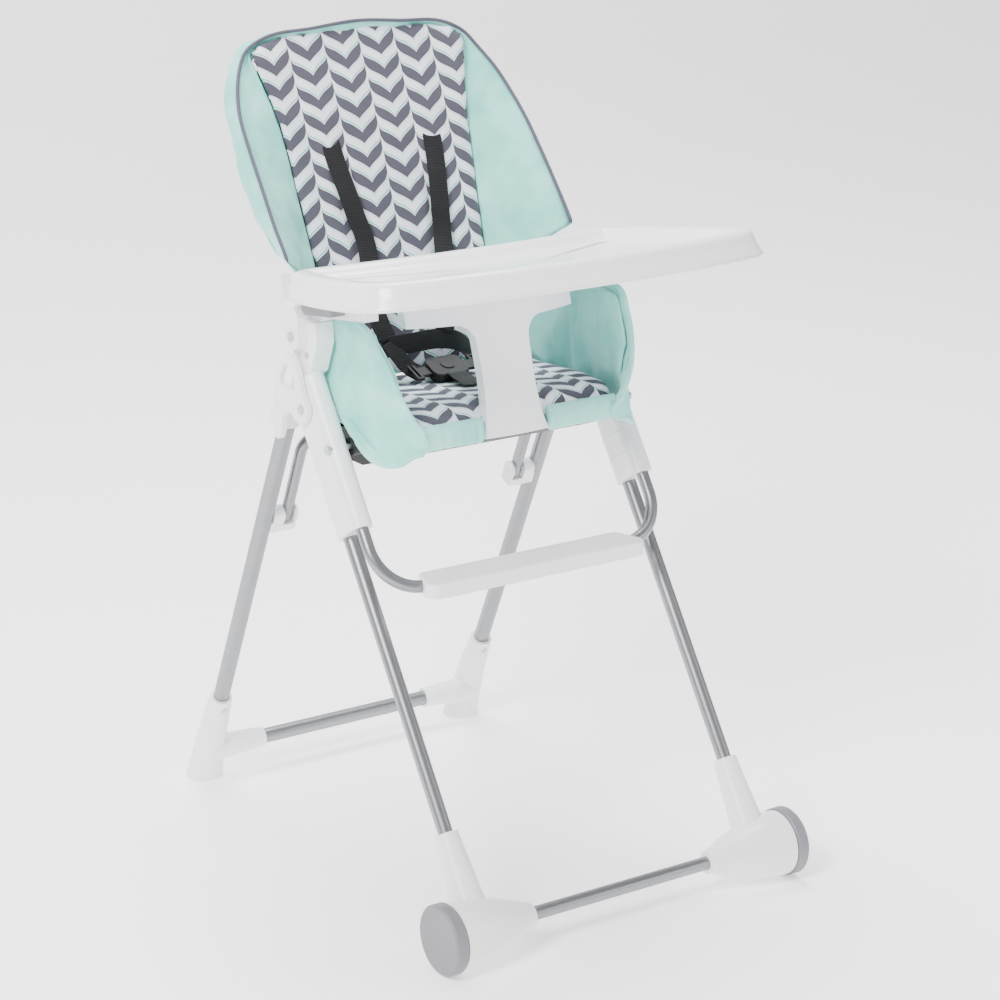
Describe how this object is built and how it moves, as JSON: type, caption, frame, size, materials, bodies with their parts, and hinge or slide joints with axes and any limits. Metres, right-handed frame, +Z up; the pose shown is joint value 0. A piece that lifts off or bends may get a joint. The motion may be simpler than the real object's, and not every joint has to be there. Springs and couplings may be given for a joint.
{
  "type": "folding baby high chair",
  "caption": "Folding high chair with wheeled tube legs, footrest, sliding dished tray, crotch post, harness and a padded reclining back in mint and chevron fabric.",
  "frame": {"origin": "on the floor under the middle of the chair's width and depth", "axes": "+Z up, the chair faces -Y (tray and footrest side), +X is the sitter's left"},
  "size_m": [0.592, 0.772, 1.0471],
  "materials": {
    "white_plastic": "smooth semi-gloss moulding",
    "grey_plastic": "smooth grey moulding",
    "wheel_plastic": "matt grey moulding",
    "black_plastic": "smooth black moulding",
    "silver_tube": "silver satin paint on steel tube",
    "zinc_fastener": "bright zinc",
    "mint_fabric": "mint woven fabric with a slight sheen",
    "printed_fabric": "quilted fabric printed with slate, lilac-white and aqua leaves",
    "black_webbing": "ribbed black webbing",
    "back_board": "plain board",
    "slate_piping": "slate corded piping"
  },
  "bodies": {
    "front_frame": {"front_leg_left": "silver_tube", "front_leg_right": "silver_tube", "front_hub_left": "white_plastic", "front_hub_right": "white_plastic", "sleeve_left": "white_plastic", "sleeve_right": "white_plastic", "sleeve_cap_left": "white_plastic", "sleeve_cap_right": "white_plastic", "armrest_left": "white_plastic", "armrest_right": "white_plastic", "front_cross_tube": "silver_tube", "footrest_tube": "silver_tube", "footrest": "white_plastic", "wheel_axles": "zinc_fastener", "fold_pivot_bolts": "zinc_fastener", "seat_pivot_bolts": "zinc_fastener", "back_pivot_bolts": "zinc_fastener", "frame_screws": "zinc_fastener"},
    "wheel_left": {"wheel_left": "wheel_plastic"},
    "wheel_right": {"wheel_right": "wheel_plastic"},
    "rear_frame": {"rear_leg_left": "silver_tube", "rear_leg_right": "silver_tube", "rear_foot_left": "white_plastic", "rear_foot_right": "white_plastic", "leg_bracket_left": "white_plastic", "leg_bracket_right": "white_plastic", "link_clip_left": "white_plastic", "link_clip_right": "white_plastic", "rear_cross_tube": "silver_tube", "link_pins": "zinc_fastener", "rear_screws": "zinc_fastener"},
    "seat_link": {"seat_link": "silver_tube"},
    "seat": {"seat_pan": "black_plastic", "crotch_post": "white_plastic", "seat_cushion": "printed_fabric", "seat_skirt_left": "mint_fabric", "seat_skirt_right": "mint_fabric", "seat_wing_left": "mint_fabric", "seat_wing_right": "mint_fabric", "buckle_body": "black_plastic", "buckle_tongue_left": "black_plastic", "buckle_tongue_right": "black_plastic", "crotch_strap": "black_webbing", "waist_strap_left": "black_webbing", "waist_strap_right": "black_webbing"},
    "buckle_button": {"buckle_button": "black_plastic"},
    "backrest": {"back_arm_left": "white_plastic", "back_arm_right": "white_plastic", "back_hoop": "silver_tube", "back_board": "back_board", "back_pad": "printed_fabric", "back_cover": "mint_fabric", "back_piping": "slate_piping", "shoulder_strap_left": "black_webbing", "shoulder_strap_right": "black_webbing"},
    "tray": {"tray": "white_plastic", "tray_runner_left": "white_plastic", "tray_runner_right": "white_plastic"},
    "tray_latch_left": {"tray_latch_left": "grey_plastic"},
    "tray_latch_right": {"tray_latch_right": "grey_plastic"}
  },
  "joints": [
    {"name": "wheel_spin_left", "type": "hinge", "parent": "front_frame", "child": "wheel_left", "pos_m": [0.26, -0.3417, 0.0443], "axis": [1, 0, 0], "continuous": true},
    {"name": "wheel_spin_right", "type": "hinge", "parent": "front_frame", "child": "wheel_right", "pos_m": [-0.26, -0.3417, 0.0443], "axis": [1, 0, 0], "continuous": true},
    {"name": "frame_fold", "type": "hinge", "parent": "front_frame", "child": "rear_frame", "pos_m": [0, 0.01909, 0.6145], "axis": [-1, 0, 0], "range_deg": [0, 55.5]},
    {"name": "seat_link_pivot", "type": "hinge", "parent": "rear_frame", "child": "seat_link", "pos_m": [0, 0.16375, 0.43326], "axis": [-1, 0, 0], "range_deg": [0, 25.4]},
    {"name": "seat_tilt", "type": "hinge", "parent": "front_frame", "child": "seat", "pos_m": [0, -0.03039, 0.57354], "axis": [-1, 0, 0], "range_deg": [0, 39.8]},
    {"name": "buckle_press", "type": "slide", "parent": "seat", "child": "buckle_button", "axis": [0, 0.3401, -0.9404], "range_m": [0, 0.003], "stiffness_N_per_m": 600},
    {"name": "backrest_recline", "type": "hinge", "parent": "front_frame", "child": "backrest", "pos_m": [0, 0.0398, 0.70405], "axis": [-1, 0, 0], "range_deg": [0, 20]},
    {"name": "tray_slide", "type": "slide", "parent": "front_frame", "child": "tray", "axis": [0, -0.989, 0.1478], "range_m": [0, 0.075]},
    {"name": "latch_pull_left", "type": "slide", "parent": "tray", "child": "tray_latch_left", "axis": [1, 0, 0], "range_m": [0, 0.006], "stiffness_N_per_m": 400},
    {"name": "latch_pull_right", "type": "slide", "parent": "tray", "child": "tray_latch_right", "axis": [-1, 0, 0], "range_m": [0, 0.006], "stiffness_N_per_m": 400}
  ],
  "couplings": [
    {"joint": "seat_tilt", "follows": "frame_fold", "ratio": 0.714},
    {"joint": "seat_link_pivot", "follows": "frame_fold", "ratio": 0.457}
  ]
}
